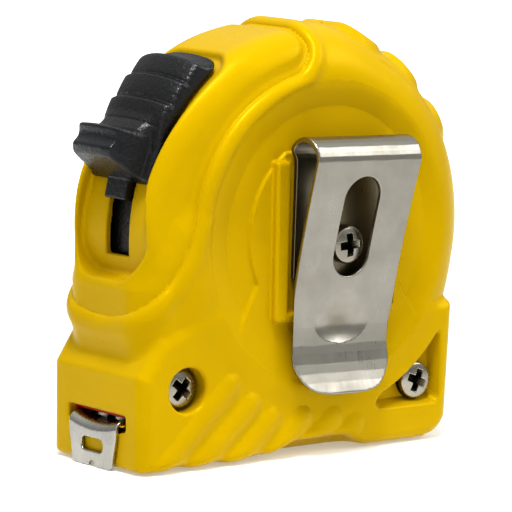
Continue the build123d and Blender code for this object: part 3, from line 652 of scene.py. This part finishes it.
class Nodes:
    """Small helper to build a material's node tree."""

    def __init__(self, name):
        self.material = bpy.data.materials.new(name)
        self.material.use_nodes = True
        self.tree = self.material.node_tree
        self.shader = self.tree.nodes["Principled BSDF"]
        self.place = self.tree.nodes.new("ShaderNodeTexCoord").outputs["Object"]

    def add(self, kind, **settings):
        node = self.tree.nodes.new("ShaderNode" + kind)
        for key, value in settings.items():
            setattr(node, key, value)
        return node

    def link(self, source, target):
        self.tree.links.new(source, target)

    def set(self, **values):
        for key, value in values.items():
            self.shader.inputs[key.replace("_", " ")].default_value = value

    def stretched(self, scale):
        node = self.add("Mapping")
        node.inputs["Scale"].default_value = scale
        self.link(self.place, node.inputs["Vector"])
        return node.outputs["Vector"]

    def noise(self, scale, detail=2.0, rough=0.5, place=None):
        node = self.add("TexNoise")
        node.inputs["Scale"].default_value = scale
        node.inputs["Detail"].default_value = detail
        node.inputs["Roughness"].default_value = rough
        self.link(place or self.place, node.inputs["Vector"])
        return node.outputs["Fac"]

    def spread(self, value, low, high, new_low, new_high):
        node = self.add("MapRange")
        self.link(value, node.inputs["Value"])
        set_range(node, low, high, new_low, new_high)
        return node.outputs["Result"]

    def math(self, operation, a, b=None):
        node = self.add("Math", operation=operation)
        for socket, value in zip(node.inputs, (a, b)):
            if value is None:
                continue
            if isinstance(value, (int, float)):
                socket.default_value = value
            else:
                self.link(value, socket)
        return node.outputs[0]

    def blend(self, factor, low, high):
        node = self.add("Mix", data_type="RGBA")
        self.link(factor, node.inputs["Factor"])
        for socket, colour in ((node.inputs[6], low), (node.inputs[7], high)):
            if isinstance(colour, tuple):
                socket.default_value = (*colour, 1)
            else:
                self.link(colour, socket)
        return node.outputs[2]

    def bump(self, height, distance, strength=1.0, below=None):
        node = self.add("Bump")
        node.inputs["Distance"].default_value = distance
        node.inputs["Strength"].default_value = strength
        self.link(height, node.inputs["Height"])
        if below is not None:
            self.link(below, node.inputs["Normal"])
        return node.outputs["Normal"]

    def colour(self, output):
        self.link(output, self.shader.inputs["Base Color"])

    def roughness(self, output):
        self.link(output, self.shader.inputs["Roughness"])

    def normal(self, output):
        self.link(output, self.shader.inputs["Normal"])


def moulded_plastic(name, light, dark, rough, grain, depth, tint=(1.0, 1.0, 1.0), shine=0.5):
    """Moulded plastic: slight colour drift, spark-eroded grain and uneven gloss."""
    m = Nodes(name)
    drift = m.noise(60.0, 3.0)
    m.colour(m.blend(m.spread(drift, 0.35, 0.65, 0, 1), dark, light))
    fine = m.noise(grain, 3.0, 0.6)
    m.roughness(m.spread(fine, 0.3, 0.7, rough - 0.05, rough + 0.08))
    slow = m.bump(m.noise(180.0, 2.0), 0.00002, 0.25)
    m.normal(m.bump(fine, depth, 0.6, slow))
    m.set(Specular_IOR_Level=shine, Specular_Tint=(*tint, 1))
    return m.material


def brushed_metal(name, colour, tint, rough, stretch, depth, grain=2600.0, painted_shade=None):
    """Rolled or brushed metal: fine lines one way, soft blotches and small scratches.

    The last argument gives a height along Y and a darker colour painted below it: painted shade on the inner
    side.
    """
    m = Nodes(name)
    lines = m.noise(grain, 3.0, 0.6, m.stretched(stretch))
    blotch = m.noise(140.0, 3.0, 0.6)
    face = m.blend(m.spread(blotch, 0.3, 0.7, 0, 1), colour, tint)
    # painted shade: below the given height along Y the colour turns darker
    if painted_shade is not None:
        split = m.add("SeparateXYZ")
        m.link(m.place, split.inputs[0])
        face = m.blend(m.spread(split.outputs["Y"], painted_shade[0] - MM, painted_shade[0], 0, 1), painted_shade[1], face)
    m.colour(face)
    uneven = m.math("ADD", m.spread(blotch, 0.3, 0.7, rough - 0.05, rough + 0.07),
                    m.spread(lines, 0.3, 0.7, -0.04, 0.06))
    m.roughness(uneven)
    m.normal(m.bump(lines, depth, 0.5, m.bump(blotch, depth * 2, 0.3)))
    m.set(Metallic=1.0)
    return m.material


def screw_metal(name, top):
    """Zinc plate, with painted shade in the depth of the cross and down the side of the head."""
    return brushed_metal(name, (0.46, 0.44, 0.38), (0.32, 0.30, 0.25), 0.25, (1.0, 1.0, 1.0), 0.00001, 1200.0,
                         painted_shade=((top - 0.45) * MM, (0.02, 0.018, 0.012)))


def soft_pad(name, colour, dark):
    """Felt or rubber: matt, with a fibrous bump."""
    m = Nodes(name)
    fibre = m.noise(2200.0, 4.0, 0.7)
    m.colour(m.blend(m.spread(fibre, 0.35, 0.65, 0, 1), dark, colour))
    m.normal(m.bump(fibre, 0.00008, 0.8))
    m.set(Roughness=0.85, Sheen_Weight=0.2)
    return m.material


def printed_blade():
    """Yellow enamelled steel blade with a black millimetre scale on both edges."""
    m = Nodes("blade_paint")
    split = m.add("SeparateXYZ")
    m.link(m.place, split.inputs[0])
    from_hook = m.math("SUBTRACT", HOOK_BACK * MM, split.outputs["X"])
    edge = m.math("ABSOLUTE", split.outputs["Y"])
    marks = None
    for pitch, half_line, reach in ((0.001, 0.00008, 2.2), (0.005, 0.0001, 3.4), (0.010, 0.00012, 6.4)):
        cells = m.math("DIVIDE", from_hook, pitch)
        off = m.math("ABSOLUTE", m.math("SUBTRACT", m.math("FRACT", m.math("ADD", cells, 0.5)), 0.5))
        line = m.math("LESS_THAN", off, half_line / pitch)
        near = m.math("GREATER_THAN", edge, (BLADE_HALF_W - reach) * MM)
        mark = m.math("MULTIPLY", line, near)
        marks = mark if marks is None else m.math("MAXIMUM", marks, mark)
    grime = m.spread(m.noise(300.0, 4.0), 0.3, 0.8, 0, 0.35)
    paint = m.blend(grime, (0.9, 0.62, 0.02), (0.78, 0.5, 0.02))
    m.colour(m.blend(marks, paint, (0.012, 0.012, 0.014)))
    m.roughness(m.spread(m.noise(900.0, 3.0), 0.3, 0.7, 0.26, 0.38))
    m.normal(m.bump(marks, 0.00002, 0.4))
    m.set(Coat_Weight=0.3)
    return m.material


def ring_label():
    """A plain round label: grey field with a dark band and fine circles, and no words."""
    m = Nodes("label_grey")
    split = m.add("SeparateXYZ")
    m.link(m.place, split.inputs[0])
    height = m.math("SUBTRACT", split.outputs["Z"], AXIS_Z * MM)
    across = m.math("POWER", split.outputs["X"], 2.0)
    radius = m.math("SQRT", m.math("ADD", across, m.math("POWER", height, 2.0)))
    band = m.math("MULTIPLY", m.math("GREATER_THAN", radius, 0.0105), m.math("LESS_THAN", radius, 0.0132))
    fine = m.math("LESS_THAN", m.math("ABSOLUTE", m.math("SUBTRACT", radius, 0.0092)), 0.00018)
    mark = m.math("MAXIMUM", band, fine)
    paper = m.noise(1500.0, 3.0)
    ground = m.blend(m.spread(paper, 0.3, 0.7, 0, 1), (0.55, 0.56, 0.57), (0.62, 0.63, 0.64))
    m.colour(m.blend(mark, ground, (0.02, 0.021, 0.024)))
    m.normal(m.bump(paper, 0.00001, 0.4))
    m.set(Roughness=0.32)
    return m.material


yellow = moulded_plastic("case_yellow", (0.555, 0.372, 0.0), (0.515, 0.343, 0.0), 0.32, 3800.0, 0.00003,
                         (1, 0.8, 0.05), 0.35)
black = moulded_plastic("lock_black", (0.011, 0.012, 0.014), (0.008, 0.008, 0.009), 0.30, 1700.0, 0.00024,
                        shine=0.6)
# the clip's inner leg is darkened by height along Y: painted shade, tinted yellow-brown as a painted
# reflection of the case
nickel = brushed_metal("clip_nickel", (0.385, 0.37, 0.33), (0.33, 0.315, 0.275), 0.31,
                       (1.0, 0.25, 0.06), 0.000006, painted_shade=((POCKET_Y + 1.4) * MM, (0.22, 0.18, 0.09)))
hook_steel = brushed_metal("hook_nickel", (0.50, 0.49, 0.46), (0.41, 0.40, 0.37), 0.26,
                           (1.0, 1.0, 0.1), 0.000004)
zinc = brushed_metal("screw_zinc", (0.44, 0.42, 0.36), (0.30, 0.28, 0.23), 0.25,
                     (1.0, 1.0, 1.0), 0.00001, 1200.0)
spring = brushed_metal("spring_steel", (0.30, 0.31, 0.33), (0.22, 0.22, 0.24), 0.3, (0.2, 1.0, 0.2), 0.00001)
red = moulded_plastic("bumper_red", (0.45, 0.012, 0.01), (0.36, 0.008, 0.008), 0.5, 2500.0, 0.00003)
felt = soft_pad("pad_black", (0.03, 0.03, 0.032), (0.012, 0.012, 0.012))
ink = moulded_plastic("scale_ink", (0.012, 0.012, 0.014), (0.02, 0.02, 0.02), 0.35, 1500.0, 0.00001)
white = moulded_plastic("reel_white", (0.74, 0.73, 0.70), (0.68, 0.67, 0.64), 0.4, 3000.0, 0.00003)
blade_paint = printed_blade()
label = ring_label()

NODE_FINISH = {
    "mouth_bumper": red, "wear_plate": hook_steel, "centre_post": zinc, "reel_washers": zinc,
    "side_label": label, "reel_drum": white, "reel_cover": white, "power_spring": spring,
    "blade_coil": blade_paint, "blade_anchor": spring, "blade_strip": blade_paint,
    "hook_rivets": zinc, "lock_tongue": black, "brake_shoe": black, "brake_pad": felt,
}


NUMBER_SIZE, BEFORE_MARK = 5.4, 2.6
INK_T, INK_LIFT = 0.03, 0.02


def blade_number(count):
    """A printed centimetre number, laid on the blade's cupped face and read from the hook."""
    text = bpy.data.curves.new("digit", "FONT")
    text.body = str(count)
    text.size = NUMBER_SIZE * MM
    text.extrude = INK_T / 2 * MM
    text.align_x = text.align_y = "CENTER"
    holder = bpy.data.objects.new("digit", text)
    bpy.context.scene.collection.objects.link(holder)
    mesh = bpy.data.meshes.new_from_object(holder.evaluated_get(bpy.context.evaluated_depsgraph_get()))
    bpy.data.objects.remove(holder)
    middle = box_mm("blade_strip")[0][2] + BLADE_T + INK_LIFT
    for point in mesh.vertices:
        u, v, w = point.co / MM
        point.co = Vector((HOOK_BACK - 10.0 * count + BEFORE_MARK - u, -v, middle + cup(v) + w)) * MM
    number = bpy.data.objects.new(f"blade_number_{count}", mesh)
    bpy.context.scene.collection.objects.link(number)
    return number


def put(obj, body, finish, slot, *nodes):
    """Let a new piece ride on its body, stand for CAD nodes and take its material."""
    obj.data.materials.clear()
    obj.data.materials.append(finish)
    if nodes:
        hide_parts(*nodes)
    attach(obj, body)


def finish_nodes():
    """Give each carried-over CAD node its procedural material."""
    for name, finish in NODE_FINISH.items():
        for slot in bpy.data.objects[name].material_slots:
            slot.material = finish


# ------------------------------------------------------------------ build the pieces
CASE_CELL, BUTTON_CELL, CLIP_CELL, SCREW_CELL, HOOK_CELL = 0.34, 0.24, 0.2, 0.13, 0.12
clip_screw_top = POCKET_Y + CLIP_T + HEAD_T
_, case_high = box_mm("case_clip_side")
for node, facing in (("case_clip_side", 1), ("case_plain_side", -1)):
    low = [REAR_X - 5.5, -0.4 if facing > 0 else -HALF_W - 1, 0]
    high = [FRONT_X + 2, HALF_W + 1.2 if facing > 0 else 0.4, case_high[2] + 1]
    half = mesh_field(node + "_shell", case_half(facing), low, high, CASE_CELL, seam=case_shell)
    put(half, "case", yellow, "case_yellow", node)

button = mesh_field("thumb_button", button_field, (16, -7.4, 38), (37.5, 7.4, 62.5), BUTTON_CELL)
put(button, "lock", black, "lock_black", "lock_button")

clip = mesh_field("sprung_clip", clip_field, (-13.5, 10.8, 8.8), (10.5, 18.8, 49.5), CLIP_CELL)
put(clip, "case", nickel, "clip_nickel", "belt_clip")

hook = mesh_field("hook_plate", hook_field, (27, -6.2, 0), (35.6, 6.2, 8.6), HOOK_CELL)
put(hook, "hook", hook_steel, "hook_nickel", "end_hook")

front_screw = mesh_field("front_screw", screw_field(FRONT_SCREW[:2], FRONT_SCREW[2], radians(40), 15.0),
                         (22, -6, 7.5), (31, 11, 16.5), SCREW_CELL)
put(front_screw, "case", screw_metal("front_zinc", FRONT_SCREW[2]), "screw_zinc", "case_screws")
rear_screw = mesh_field("rear_screw", screw_field(REAR_SCREW[:2], REAR_SCREW[2], radians(22), 16.0),
                        (-22, -6, 5.5), (-14.5, 12, 13.5), SCREW_CELL)
put(rear_screw, "case", screw_metal("rear_zinc", REAR_SCREW[2]), "screw_zinc", "case_screws")
clip_screw = mesh_field("leg_screw", screw_field(CLIP_SCREW, clip_screw_top, radians(-4), 5.8),
                        (-5.0, 7.5, CLIP_SCREW[1] - 3.1), (1.2, 14.2, CLIP_SCREW[1] + 3.1), SCREW_CELL)
put(clip_screw, "case", screw_metal("clip_zinc", clip_screw_top), "screw_zinc", "clip_screw")
finish_nodes()
for centimetres in range(2, 6):
    put(blade_number(centimetres), "blade", ink, "blade_paint")


# ------------------------------------------------------------------ stage, light and camera
FLOOR_HALF = 3.0
LIT_POINT = (0, 0, 0.03)
AZIMUTH, ELEVATION, ROLL, DISTANCE = 141.1, 8.1, 1.2, 0.57
TARGET = Vector((0.0052, 0.0, 0.029))
LENS = 266.0


def stage_floor():
    """A plain pale floor, lit a little from within behind and under the object."""
    mesh = bpy.data.meshes.new("floor")
    half = FLOOR_HALF
    corners = [(-half, -half, 0), (half, -half, 0), (half, half, 0), (-half, half, 0)]
    mesh.from_pydata(corners, [], [(0, 1, 2, 3)])
    floor = bpy.data.objects.new("floor", mesh)
    bpy.context.scene.collection.objects.link(floor)
    m = Nodes("floor")
    paper = m.noise(400.0, 3.0)
    m.colour(m.blend(paper, (0.66, 0.66, 0.66), (0.70, 0.70, 0.70)))
    m.set(Roughness=0.8, Emission_Color=(1, 1, 1, 1))
    split = m.add("SeparateXYZ")
    m.link(m.place, split.inputs[0])
    reach = m.add("VectorMath", operation="LENGTH")
    m.link(m.place, reach.inputs[0])
    behind = m.spread(split.outputs["Y"], 0.10, -0.10, 0.0, 1.0)
    far = m.math("MULTIPLY", m.spread(reach.outputs["Value"], 0.06, 0.30, 0.0, 0.6), behind)
    near = m.spread(reach.outputs["Value"], 0.03, 0.10, 0.26, 0.0)
    m.link(m.math("ADD", far, near), m.shader.inputs["Emission Strength"])
    mesh.materials.append(m.material)


def studio_world():
    """A pale room: bright overhead and dimmer near the horizon."""
    world = bpy.data.worlds.new("studio")
    world.use_nodes = True
    tree = world.node_tree
    shade = tree.nodes["Background"]
    shade.inputs["Color"].default_value = (1.0, 1.0, 1.0, 1.0)
    place = tree.nodes.new("ShaderNodeTexCoord")
    split = tree.nodes.new("ShaderNodeSeparateXYZ")
    tree.links.new(place.outputs["Generated"], split.inputs[0])
    ramp = tree.nodes.new("ShaderNodeMapRange")
    tree.links.new(split.outputs["Z"], ramp.inputs["Value"])
    set_range(ramp, -0.1, 0.9, 0.17, 0.70)
    tree.links.new(ramp.outputs["Result"], shade.inputs["Strength"])
    bpy.context.scene.world = world


def area_light(name, place, size, power):
    """A square soft light, turned to the middle of the object."""
    data = bpy.data.lights.new(name, "AREA")
    data.energy = power
    data.size = size
    lamp = bpy.data.objects.new(name, data)
    lamp.location = place
    lamp.rotation_euler = (Vector(LIT_POINT) - Vector(place)).to_track_quat("-Z", "Y").to_euler()
    bpy.context.scene.collection.objects.link(lamp)


def camera():
    """A long lens, level with the front of the case and a little above it."""
    data = bpy.data.cameras.new("camera")
    data.lens = LENS
    data.sensor_width = 36.0
    data.clip_start, data.clip_end = 0.01, 20
    eye = bpy.data.objects.new("camera", data)
    a, e = radians(AZIMUTH), radians(ELEVATION)
    direction = Vector((sin(a) * cos(e), -cos(a) * cos(e), sin(e)))
    eye.location = TARGET + DISTANCE * direction
    turn = (-direction).to_track_quat("-Z", "Y")
    eye.rotation_mode = "QUATERNION"
    eye.rotation_quaternion = Quaternion(direction, radians(ROLL)) @ turn
    bpy.context.scene.collection.objects.link(eye)
    bpy.context.scene.camera = eye


stage_floor()
studio_world()
bpy.context.scene.view_settings.view_transform = "Standard"
bpy.context.scene.view_settings.look = "High Contrast"
area_light("key", (0.14, 0.14, 0.55), 0.16, 2.1)
area_light("side", (0.36, 0.50, 0.20), 0.25, 0.12)
area_light("strip", (-0.45, 0.37, 0.42), 0.32, 1.0)
camera()
